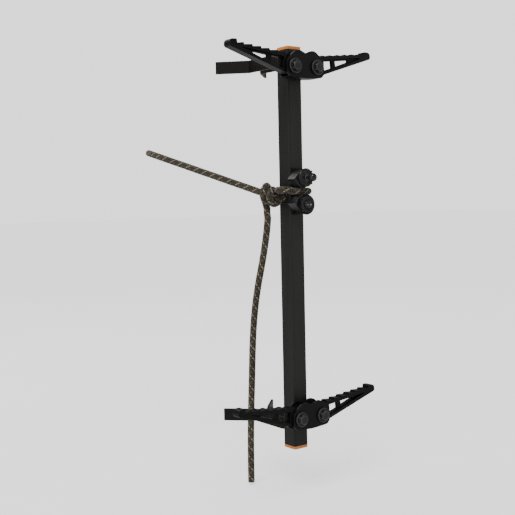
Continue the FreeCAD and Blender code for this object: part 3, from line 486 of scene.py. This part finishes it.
def braid_tree():
    tree = new_tree("rope_braid", "GeometryNodeTree", [
        ("Line", "INPUT", "NodeSocketGeometry", None), ("Pitch", "INPUT", "NodeSocketFloat", 0.027),
        ("Strands", "INPUT", "NodeSocketInt", 16), ("Radius", "INPUT", "NodeSocketFloat", 0.0037),
        ("Weave", "INPUT", "NodeSocketFloat", 0.00032), ("Tracer Lift", "INPUT", "NodeSocketFloat", 0.9),
        ("Step", "INPUT", "NodeSocketFloat", 0.0011),
        ("Width", "INPUT", "NodeSocketFloat", 0.0012), ("Flatness", "INPUT", "NodeSocketFloat", 0.5),
        ("Sides", "INPUT", "NodeSocketInt", 5), ("Core", "INPUT", "NodeSocketFloat", 0.0034),
        ("Material", "INPUT", "NodeSocketMaterial", None), ("Mesh", "OUTPUT", "NodeSocketGeometry", None)])
    tree.is_modifier = True
    inside, outside = group_ends(tree)
    get = inside.outputs
    line = add_node(tree, "GeometryNodeMeshToCurve", {0: get["Line"]}).outputs[0]
    fine = add_node(tree, "GeometryNodeResampleCurve", {"Curve": line, "Length": get["Step"]},
                    mode="LENGTH")
    along_out = add_node(tree, "GeometryNodeSplineParameter").outputs["Length"]
    held = add_node(tree, "GeometryNodeStoreNamedAttribute",
                    {"Geometry": fine.outputs[0], "Name": "along", "Value": along_out}, data_type="FLOAT",
                    domain="POINT")
    normal = add_node(tree, "GeometryNodeInputNormal").outputs[0]
    store_normal = add_node(tree, "GeometryNodeStoreNamedAttribute",
                            {"Geometry": held.outputs[0], "Name": "line_normal", "Value": normal},
                            data_type="FLOAT_VECTOR", domain="POINT")
    tangent = add_node(tree, "GeometryNodeInputTangent").outputs[0]
    store_tangent = add_node(tree, "GeometryNodeStoreNamedAttribute",
                             {"Geometry": store_normal.outputs[0], "Name": "line_way", "Value": tangent},
                             data_type="FLOAT_VECTOR", domain="POINT")
    copies = add_node(tree, "GeometryNodeDuplicateElements",
                      {"Geometry": store_tangent.outputs[0], "Amount": get["Strands"]}, domain="SPLINE")
    number = copies.outputs["Duplicate Index"]
    half = math_node(tree, "DIVIDE", get["Strands"], 2.0)
    hand = math_node(tree, "SUBTRACT", 1.0,
                     math_node(tree, "MULTIPLY", math_node(tree, "GREATER_THAN", number,
                                                           math_node(tree, "SUBTRACT", half, 0.5)), 2.0))
    along = add_node(tree, "GeometryNodeInputNamedAttribute", {"Name": "along"},
                     data_type="FLOAT").outputs[0]
    turns = math_node(tree, "DIVIDE", along, get["Pitch"])
    seat = math_node(tree, "DIVIDE", number, half)
    angle = math_node(tree, "MULTIPLY", math_node(tree, "MULTIPLY_ADD", turns, hand, seat), 2 * math.pi)
    beat = math_node(tree, "COSINE", math_node(tree, "MULTIPLY", math_node(tree, "MULTIPLY", turns,
                                                                          get["Strands"]), math.pi))
    every_fourth = math_node(tree, "COMPARE", add_node(tree, "FunctionNodeIntegerMath", {0: number,
                                                                                         1: TRACER_EVERY},
                                                       operation="MODULO").outputs[0], 0.0, 0.1)
    second_hand = math_node(tree, "LESS_THAN", hand, 0.0)
    tracer = math_node(tree, "MULTIPLY", every_fourth, second_hand)
    plain = math_node(tree, "MULTIPLY_ADD", tracer, TRACER_CALM, 1.0)
    paler = math_node(tree, "MAXIMUM", math_node(tree, "MULTIPLY", second_hand, SECOND_HAND_SHADE),
                      math_node(tree, "MULTIPLY", every_fourth, CROSSING_SHADE))
    shade = math_node(tree, "MAXIMUM", tracer, paler)
    woven = math_node(tree, "MULTIPLY", math_node(tree, "MULTIPLY", beat, hand), plain)
    lift = math_node(tree, "MULTIPLY", math_node(tree, "MULTIPLY_ADD", tracer, get["Tracer Lift"], woven),
                     get["Weave"])
    radius = math_node(tree, "ADD", get["Radius"], lift)
    side = add_node(tree, "GeometryNodeInputNamedAttribute", {"Name": "line_normal"},
                    data_type="FLOAT_VECTOR").outputs[0]
    way = add_node(tree, "GeometryNodeInputNamedAttribute", {"Name": "line_way"},
                   data_type="FLOAT_VECTOR").outputs[0]
    cross = vector_node(tree, "CROSS_PRODUCT", way, side)
    out = vector_node(tree, "ADD", vector_node(tree, "SCALE", side, scale=math_node(tree, "COSINE", angle)),
                      vector_node(tree, "SCALE", cross, scale=math_node(tree, "SINE", angle)))
    moved = add_node(tree, "GeometryNodeSetPosition",
                     {"Geometry": copies.outputs[0], "Offset": vector_node(tree, "SCALE", out,
                                                                           scale=radius)})
    facing = add_node(tree, "GeometryNodeSetCurveNormal", {"Curve": moved.outputs[0], "Normal": out},
                      mode="FREE")
    marked = add_node(tree, "GeometryNodeStoreNamedAttribute",
                      {"Geometry": facing.outputs[0], "Name": "tracer", "Value": shade},
                      data_type="FLOAT", domain="POINT")
    ring = add_node(tree, "GeometryNodeCurvePrimitiveCircle", {"Resolution": get["Sides"],
                                                               "Radius": get["Width"]})
    flatten = add_node(tree, "ShaderNodeCombineXYZ", {0: get["Flatness"], 1: 1.0, 2: 1.0}).outputs[0]
    oval = add_node(tree, "GeometryNodeTransform", {"Geometry": ring.outputs[0], "Scale": flatten})
    share = add_node(tree, "GeometryNodeSplineParameter").outputs["Factor"]
    oval_marked = add_node(tree, "GeometryNodeStoreNamedAttribute",
                           {"Geometry": oval.outputs[0], "Name": "around", "Value": share},
                           data_type="FLOAT", domain="POINT")
    is_thin = add_node(tree, "GeometryNodeInputNamedAttribute", {"Name": "tracer"},
                       data_type="FLOAT").outputs[0]
    thin = math_node(tree, "MULTIPLY_ADD", is_thin, TRACER_THINNER, 1.0)
    strands = add_node(tree, "GeometryNodeCurveToMesh", {"Curve": marked.outputs[0],
                                                         "Profile Curve": oval_marked.outputs[0],
                                                         "Scale": thin, "Fill Caps": True})
    core_ring = add_node(tree, "GeometryNodeCurvePrimitiveCircle", {"Resolution": 8, "Radius": get["Core"]})
    coarse = add_node(tree, "GeometryNodeResampleCurve",
                      {"Curve": line, "Length": math_node(tree, "MULTIPLY", get["Step"], 2.0)},
                      mode="LENGTH")
    core = add_node(tree, "GeometryNodeCurveToMesh", {"Curve": coarse.outputs[0],
                                                      "Profile Curve": core_ring.outputs[0],
                                                      "Fill Caps": True})
    both = tree.nodes.new("GeometryNodeJoinGeometry")
    tree.links.new(strands.outputs[0], both.inputs[0])
    tree.links.new(core.outputs[0], both.inputs[0])
    smooth = add_node(tree, "GeometryNodeSetShadeSmooth", {0: both.outputs[0]})
    real = add_node(tree, "GeometryNodeRealizeInstances", {0: smooth.outputs[0]})
    final = add_node(tree, "GeometryNodeSetMaterial", {"Geometry": real.outputs[0],
                                                       "Material": get["Material"]})
    tree.links.new(final.outputs[0], outside.inputs[0])
    return tree


def apply_tree(name, mesh, tree, values, body):
    """A plain piece from a mesh and a Geometry Nodes tree with its inputs set by identifier."""
    holder = bpy.data.objects.new(name + "_holder", mesh)
    modifier = holder.modifiers.new("nodes", "NODES")
    modifier.node_group = tree
    identifiers = {item.name: item.identifier for item in tree.interface.items_tree
                   if item.item_type == "SOCKET" and item.in_out == "INPUT"}
    for label, value in values.items():
        modifier[identifiers[label]] = value
    scene.collection.objects.link(holder)
    return solidified(name, holder, body)


rope = apply_tree("rope", line_mesh, braid_tree(), {"Material": MATERIALS["rope"]}, "stick")
bpy.data.objects.remove(rope_guide)
rope_box = [(min(v.co[k] for v in rope.data.vertices), max(v.co[k] for v in rope.data.vertices)) for k in range(3)]
print("rope box", [(round(a / MM, 1), round(b / MM, 1)) for a, b in rope_box])
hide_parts("rope_lead", "rope_hitch", "rope_loop", "rope_tail")

# %% [markdown]
# ## Rounding the hard parts
# No cast, sawn or bent part has knife-sharp edges, and a highlight needs a round edge to run along. A copy
# of each CAD mesh is merged, its flat faces are joined up, and a narrow bevel rounds every sharp edge.
# Weighted normals keep the flat faces flat.

# %% Rounded copies
MERGE_WITHIN = 2e-6
FLAT_WITHIN = math.radians(0.6)
BEVEL_FROM = math.radians(28)
SHARP_FROM = math.radians(32)
BEVEL_STEPS = 2


def merged_copy(node):
    """Copy of a CAD node's mesh with its doubles merged and its flat areas joined."""
    mesh = frame["nodes"][node].data.copy()
    work = bmesh.new()
    work.from_mesh(mesh)
    bmesh.ops.remove_doubles(work, verts=work.verts, dist=MERGE_WITHIN)
    bmesh.ops.dissolve_limit(work, angle_limit=FLAT_WITHIN, verts=work.verts, edges=work.edges)
    work.to_mesh(mesh)
    work.free()
    return mesh


SLOT_OF = {row["node"]: row["material_slot"] for row in frame["record"]["subparts"]}
BODY_OF = {node: body for body, members in frame["record"]["behaviour"]["bodies"].items() for node in members}


def rounded(node, width):
    """A finished piece for a CAD node, with every sharp edge rounded."""
    piece = bpy.data.objects.new(node + "_finished", merged_copy(node))
    scene.collection.objects.link(piece)
    piece.data.materials.clear()
    piece.data.materials.append(MATERIALS[SLOT_OF[node]])
    piece.data.polygons.foreach_set("material_index", [0] * len(piece.data.polygons))
    bevel = piece.modifiers.new("round", "BEVEL")
    bevel.width = width * MM
    bevel.segments = BEVEL_STEPS
    bevel.limit_method = "ANGLE"
    bevel.angle_limit = BEVEL_FROM
    bevel.use_clamp_overlap = True
    bevel.harden_normals = False
    piece.data = bpy.data.meshes.new_from_object(
        piece.evaluated_get(bpy.context.evaluated_depsgraph_get()))
    piece.modifiers.clear()
    piece.data.shade_smooth()
    piece.data.set_sharp_from_angle(angle=SHARP_FROM)
    level_faces = piece.modifiers.new("level_faces", "WEIGHTED_NORMAL")
    level_faces.weight = 100
    level_faces.keep_sharp = True
    piece.data = bpy.data.meshes.new_from_object(
        piece.evaluated_get(bpy.context.evaluated_depsgraph_get()))
    piece.modifiers.clear()
    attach(piece, BODY_OF[node])
    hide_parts(node)
    return piece


# %% [markdown]
# ## How round each part is
# Sawn tube and turned bolts keep crisp edges, while castings and bent bar are rounder. The table gives each
# part's bevel width in millimetres, and the parts that both levels share are added in a loop.

# %% Rounding table
ROUNDING = {"main_tube": 0.25, "upper_end_cap": 0.3, "lower_end_cap": 0.3, "cleat_base": 0.5,
            "upper_cam": 0.45, "lower_cam": 0.45, "cleat_knob": 0.3, "upper_cam_disc": 0.3,
            "lower_cam_cap": 0.3, "upper_cam_bolt": 0.3, "lower_cam_bolt": 0.3}
for level in ("upper", "lower"):
    ROUNDING[level + "_tree_bracket"] = 0.5
    ROUNDING[level + "_step_bracket"] = 0.55
    ROUNDING[level + "_step_spacer"] = 0.4
    ROUNDING[level + "_pivot_bolts"] = 0.3
    ROUNDING[level + "_pivot_washers"] = 0.2
    ROUNDING[level + "_pivot_nuts"] = 0.3
    ROUNDING[level + "_bracket_screws"] = 0.2
    ROUNDING[level + "_mounting_screws"] = 0.2
    for side in ("left", "right"):
        ROUNDING[f"{level}_{side}_step"] = 0.6
for node, width in ROUNDING.items():
    piece = rounded(node, width)
    print(piece.name, len(piece.data.polygons), "faces")

# %% [markdown]
# ## The cleat's knurl
# The lower cap is cut with a coarse diamond knurl so that a gloved thumb can turn it, and the upper disc has
# the same. Geometry Nodes places one low pyramid on each grid point that lies on the ring, turned by 45
# degrees, and leaves the middle free for the bolt.

# %% Knurl tree


def knurl_tree():
    tree = new_tree("cap_knurl", "GeometryNodeTree", [
        ("Base", "INPUT", "NodeSocketGeometry", None), ("Centre", "INPUT", "NodeSocketVector", (0, 0, 0)),
        ("Outer", "INPUT", "NodeSocketFloat", 0.011), ("Inner", "INPUT", "NodeSocketFloat", 0.0055),
        ("Count", "INPUT", "NodeSocketInt", 11), ("Point Size", "INPUT", "NodeSocketFloat", 0.00145),
        ("Point Height", "INPUT", "NodeSocketFloat", 0.0009), ("Material", "INPUT", "NodeSocketMaterial",
                                                               None),
        ("Mesh", "OUTPUT", "NodeSocketGeometry", None)])
    tree.is_modifier = True
    inside, outside = group_ends(tree)
    get = inside.outputs
    width = math_node(tree, "MULTIPLY", get["Outer"], 2.0)
    grid = add_node(tree, "GeometryNodeMeshGrid", {"Size X": width, "Size Y": width,
                                                   "Vertices X": get["Count"], "Vertices Y": get["Count"]})
    turned_grid = add_node(tree, "GeometryNodeTransform",
                           {"Geometry": grid.outputs[0], "Rotation": (0, 0, math.radians(45))})
    place = add_node(tree, "GeometryNodeInputPosition").outputs[0]
    away = add_node(tree, "ShaderNodeVectorMath", {0: place}, operation="LENGTH").outputs["Value"]
    too_far = math_node(tree, "GREATER_THAN", away, get["Outer"])
    too_near = math_node(tree, "LESS_THAN", away, get["Inner"])
    kept = add_node(tree, "GeometryNodeDeleteGeometry",
                    {"Geometry": turned_grid.outputs[0],
                     "Selection": math_node(tree, "MAXIMUM", too_far, too_near)}, domain="POINT")
    upright = add_node(tree, "GeometryNodeTransform", {"Geometry": kept.outputs[0],
                                                       "Rotation": (math.radians(90), 0, 0)})
    placed = add_node(tree, "GeometryNodeTransform", {"Geometry": upright.outputs[0],
                                                      "Translation": get["Centre"]})
    point = add_node(tree, "GeometryNodeMeshCone", {"Vertices": 4, "Radius Top": 0.00012,
                                                    "Radius Bottom": get["Point Size"],
                                                    "Depth": get["Point Height"]})
    rise = add_node(tree, "ShaderNodeSeparateXYZ", {0: add_node(tree,
                                                                "GeometryNodeInputPosition").outputs[0]})
    marked = add_node(tree, "GeometryNodeStoreNamedAttribute",
                      {"Geometry": point.outputs[0], "Name": "point_height",
                       "Value": math_node(tree, "DIVIDE", rise.outputs[2], get["Point Height"])},
                      data_type="FLOAT", domain="POINT")
    copies = add_node(tree, "GeometryNodeInstanceOnPoints",
                      {"Points": placed.outputs[0], "Instance": marked.outputs[0],
                       "Rotation": (math.radians(90), 0, 0)})
    real = add_node(tree, "GeometryNodeRealizeInstances", {0: copies.outputs[0]})
    final = add_node(tree, "GeometryNodeSetMaterial", {"Geometry": real.outputs[0],
                                                       "Material": get["Material"]})
    tree.links.new(final.outputs[0], outside.inputs[0])
    return tree


cap_low, cap_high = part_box("lower_cam_cap")
disc_low, disc_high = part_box("upper_cam_disc")
cap_middle = (cap_low + cap_high) / 2
disc_middle = (disc_low + disc_high) / 2
KNURL = knurl_tree()
for name, low, middle, inner in (("lower_cap_knurl", cap_low, cap_middle, 5.8),
                                 ("upper_disc_knurl", disc_low, disc_middle, 6.2)):
    knurl = apply_tree(name, bpy.data.meshes.new("empty"), KNURL,
                       {"Centre": (middle.x, low.y, middle.z), "Outer": 10.8 * MM,
                        "Inner": inner * MM, "Material": MATERIALS["knurled_steel"]}, "stick")

# %% [markdown]
# ## Rim ribs
# Both round caps have fine ribs round the rim. One tree puts a six-sided bar on each point of a circle, all
# parallel to the cap's axis.

# %% Rim rib tree


def rim_tree():
    tree = new_tree("rim_ribs", "GeometryNodeTree", [
        ("Base", "INPUT", "NodeSocketGeometry", None), ("Centre", "INPUT", "NodeSocketVector", (0, 0, 0)),
        ("Radius", "INPUT", "NodeSocketFloat", 0.012), ("Count", "INPUT", "NodeSocketInt", 48),
        ("Rib Size", "INPUT", "NodeSocketFloat", 0.00045), ("Rib Length", "INPUT", "NodeSocketFloat",
                                                            0.0016),
        ("Material", "INPUT", "NodeSocketMaterial", None), ("Mesh", "OUTPUT", "NodeSocketGeometry", None)])
    tree.is_modifier = True
    inside, outside = group_ends(tree)
    get = inside.outputs
    ring = add_node(tree, "GeometryNodeCurvePrimitiveCircle", {"Resolution": get["Count"],
                                                               "Radius": get["Radius"]})
    rib = add_node(tree, "GeometryNodeMeshCylinder", {"Vertices": 6, "Radius": get["Rib Size"],
                                                      "Depth": get["Rib Length"]})
    copies = add_node(tree, "GeometryNodeInstanceOnPoints", {"Points": ring.outputs[0],
                                                             "Instance": rib.outputs[0]})
    upright = add_node(tree, "GeometryNodeTransform", {"Geometry": copies.outputs[0],
                                                       "Rotation": (math.radians(90), 0, 0)})
    placed = add_node(tree, "GeometryNodeTransform", {"Geometry": upright.outputs[0],
                                                      "Translation": get["Centre"]})
    real = add_node(tree, "GeometryNodeRealizeInstances", {0: placed.outputs[0]})
    final = add_node(tree, "GeometryNodeSetMaterial", {"Geometry": real.outputs[0],
                                                       "Material": get["Material"]})
    tree.links.new(final.outputs[0], outside.inputs[0])
    return tree


RIM = rim_tree()
for name, low, high, middle, length in (("lower_cap_ribs", cap_low, cap_high, cap_middle, 1.5),
                                        ("upper_disc_ribs", disc_low, disc_high, disc_middle, 1.0)):
    radius = (high.x - low.x) / 2
    ribs = apply_tree(name, bpy.data.meshes.new("empty"), RIM,
                      {"Centre": (middle.x, high.y - (0.45 + length / 2) * MM, middle.z),
                       "Radius": radius - 0.1 * MM, "Rib Length": length * MM,
                       "Material": MATERIALS["knurled_steel"]}, "stick")

# %% [markdown]
# ## The cams' springs
# A torsion spring sits in each cam's well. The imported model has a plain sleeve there, and here it becomes
# real wire: a spiral swept with a circle.

# %% Spring tree


def spring_tree():
    tree = new_tree("torsion_spring", "GeometryNodeTree", [
        ("Base", "INPUT", "NodeSocketGeometry", None), ("Foot", "INPUT", "NodeSocketVector", (0, 0, 0)),
        ("Radius", "INPUT", "NodeSocketFloat", 0.0055), ("Turns", "INPUT", "NodeSocketFloat", 3.5),
        ("Height", "INPUT", "NodeSocketFloat", 0.0027), ("Wire", "INPUT", "NodeSocketFloat", 0.0004),
        ("Material", "INPUT", "NodeSocketMaterial", None), ("Mesh", "OUTPUT", "NodeSocketGeometry", None)])
    tree.is_modifier = True
    inside, outside = group_ends(tree)
    get = inside.outputs
    spiral = add_node(tree, "GeometryNodeCurveSpiral", {"Resolution": 36, "Rotations": get["Turns"],
                                                        "Start Radius": get["Radius"],
                                                        "End Radius": get["Radius"],
                                                        "Height": get["Height"]})
    wire = add_node(tree, "GeometryNodeCurvePrimitiveCircle", {"Resolution": 8, "Radius": get["Wire"]})
    swept = add_node(tree, "GeometryNodeCurveToMesh", {"Curve": spiral.outputs[0],
                                                       "Profile Curve": wire.outputs[0], "Fill Caps": True})
    upright = add_node(tree, "GeometryNodeTransform", {"Geometry": swept.outputs[0],
                                                       "Rotation": (math.radians(90), 0, 0)})
    placed = add_node(tree, "GeometryNodeTransform", {"Geometry": upright.outputs[0],
                                                      "Translation": get["Foot"]})
    smooth = add_node(tree, "GeometryNodeSetShadeSmooth", {0: placed.outputs[0]})
    real = add_node(tree, "GeometryNodeRealizeInstances", {0: smooth.outputs[0]})
    final = add_node(tree, "GeometryNodeSetMaterial", {"Geometry": real.outputs[0],
                                                       "Material": get["Material"]})
    tree.links.new(final.outputs[0], outside.inputs[0])
    return tree


SPRING = spring_tree()
for level in ("upper", "lower"):
    low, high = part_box(level + "_cam_spring")
    middle = (low + high) / 2
    spring = apply_tree(level + "_spring_wire", bpy.data.meshes.new("empty"), SPRING,
                        {"Foot": (middle.x, high.y - 0.45 * MM, middle.z),
                         "Material": MATERIALS["zinc_steel"]},
                        "stick")
    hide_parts(level + "_cam_spring")

# %% [markdown]
# ## The lower cap's bolt head
# The bolt of the lower cam ends in a low dome with two round pin holes, for a forked driver. The dome is
# turned from a short outline, and each hole is a small bright cup set into it.

# %% Turned shapes


def turned(name, outline, middle, material, body, turns=40):
    """A solid turned about a line along Y through a point, from (radius, forward) pairs in millimetres."""
    work = bmesh.new()
    rings = []
    for radius, forward in outline:
        if radius < 1e-6:
            rings.append([work.verts.new((middle.x, middle.y - forward * MM, middle.z))])
            continue
        rings.append([work.verts.new((middle.x + radius * MM * math.cos(2 * math.pi * k / turns),
                                      middle.y - forward * MM,
                                      middle.z + radius * MM * math.sin(2 * math.pi * k / turns)))
                      for k in range(turns)])
    for inner, outer in zip(rings, rings[1:]):
        for k in range(turns):
            corners = [inner[k % len(inner)], inner[(k + 1) % len(inner)],
                       outer[(k + 1) % len(outer)], outer[k % len(outer)]]
            work.faces.new(list(dict.fromkeys(corners)))
    bmesh.ops.recalc_face_normals(work, faces=work.faces)
    mesh = bpy.data.meshes.new(name)
    work.to_mesh(mesh)
    work.free()
    mesh.shade_smooth()
    mesh.set_sharp_from_angle(angle=math.radians(40))
    mesh.materials.append(material)
    piece = bpy.data.objects.new(name, mesh)
    scene.collection.objects.link(piece)
    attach(piece, body)
    print(name, len(mesh.polygons), "faces")
    return piece


head_seat = Vector((cap_middle.x, cap_low.y, cap_middle.z))
turned("lower_bolt_head", [(0, -0.5), (5.1, -0.5), (5.1, 1.6), (4.7, 2.2), (3.6, 2.7), (2.0, 2.95), (0,
                                                                                                     3.0)],
       head_seat, MATERIALS["bolt_steel"], "stick")
for side in (-1, 1):
    pin = head_seat + Vector((side * 2.5 * MM, -2.35 * MM, 0))
    turned(f"bolt_pin_hole_{(side + 1) // 2}", [(0, 0.0), (1.05, 0.0), (1.05, 0.62), (0.85, 0.72),
                                               (0.55, 0.35), (0, 0.2)],
           pin, MATERIALS["zinc_steel"], "stick", turns=20)

# %% [markdown]
# ## Materials for the CAD nodes that stay
# Parts whose shape is already right keep their CAD mesh. Each gets the finish of its own slot.

# %% Materials on CAD nodes
for node, thing in frame["nodes"].items():
    slot_name = SLOT_OF[node]
    thing.data.materials.clear()
    thing.data.materials.append(MATERIALS[slot_name])
print("materials set on", len(frame["nodes"]), "nodes")

# %% [markdown]
# ## Floor and light
# The stick is shown over a flat pale floor in front of a plain wall of light. Both look brighter to the
# camera than they light the stick, so that the dark metal keeps its depth.

# %% Floor and backdrop
FLOOR_HEIGHT = cad_low.z - 4 * MM
FLOOR_HALF = 14.0
FLOOR_GLOW = 1.02
WALL_LIGHT = 0.30
WALL_SEEN = 1.75


def studio_floor():
    work = bmesh.new()
    corners = [(-FLOOR_HALF, -FLOOR_HALF), (FLOOR_HALF, -FLOOR_HALF), (FLOOR_HALF, FLOOR_HALF),
               (-FLOOR_HALF, FLOOR_HALF)]
    work.faces.new([work.verts.new((x, y, FLOOR_HEIGHT)) for x, y in corners])
    mesh = bpy.data.meshes.new("floor")
    work.to_mesh(mesh)
    work.free()
    floor = bpy.data.objects.new("floor", mesh)
    scene.collection.objects.link(floor)
    material, tree, shader = principled("floor_paper")
    place = add_node(tree, "ShaderNodeTexCoord").outputs["Object"]
    tone = add_node(tree, "ShaderNodeTexNoise", {"Vector": place, "Scale": 3.0, "Detail": 3.0}).outputs[0]
    tree.links.new(ramp(tree, tone, (0.80, 0.80, 0.795), (0.84, 0.84, 0.835)), shader.inputs["Base Color"])
    shader.inputs["Roughness"].default_value = 0.9
    seen = add_node(tree, "ShaderNodeLightPath").outputs["Is Camera Ray"]
    tree.links.new(ramp(tree, seen, 0.0, FLOOR_GLOW, 0.0, 1.0), shader.inputs["Emission Strength"])
    shader.inputs["Emission Color"].default_value = (1, 1, 1, 1)
    mesh.materials.append(material)
    return floor


def studio_world():
    """A white backdrop that lights the stick less than it shows, as a lit wall far behind does."""
    world = bpy.data.worlds.new("studio")
    world.use_nodes = True
    tree = world.node_tree
    backdrop = tree.nodes["Background"]
    backdrop.inputs["Color"].default_value = (1, 1, 1, 1)
    seen = add_node(tree, "ShaderNodeLightPath").outputs["Is Camera Ray"]
    tree.links.new(ramp(tree, seen, WALL_LIGHT, WALL_SEEN, 0.0, 1.0), backdrop.inputs["Strength"])
    scene.world = world


studio_floor()
studio_world()
print("floor at", round(FLOOR_HEIGHT, 3))

# %% [markdown]
# ## Lights
# A wide sun from the front left and above is the main light. Three soft area lights help it: one on the left,
# a weaker one on the right, and one behind and above that draws a thin bright edge on the black parts.

# %% Lights


def soft_light(name, place, aim, power, width, height):
    data = bpy.data.lights.new(name, "AREA")
    data.shape = "RECTANGLE"
    data.size = width
    data.size_y = height
    data.energy = power
    light = bpy.data.objects.new(name, data)
    scene.collection.objects.link(light)
    way = (Vector(aim) - Vector(place)).normalized()
    light.matrix_world = Matrix.Translation(place) @ way.to_track_quat("-Z", "Y").to_matrix().to_4x4()
    return light


sun_data = bpy.data.lights.new("key", "SUN")
sun_data.energy = 1.9
sun_data.angle = math.radians(35)
sun = bpy.data.objects.new("key", sun_data)
scene.collection.objects.link(sun)
sun.matrix_world = Vector((0.55, 0.45, -1.0)).to_track_quat("-Z", "Y").to_matrix().to_4x4()
soft_light("left_light", (-1.9, -0.7, 0.7), (0, -0.1, 0), 10, 0.8, 1.6)
soft_light("right_light", (1.5, -1.3, 0.4), (0, -0.1, 0), 4, 0.6, 1.4)
soft_light("back_light", (-0.1, 1.5, 1.25), (0, -0.1, 0), 7, 1.4, 0.9)

# %% Import json
import json
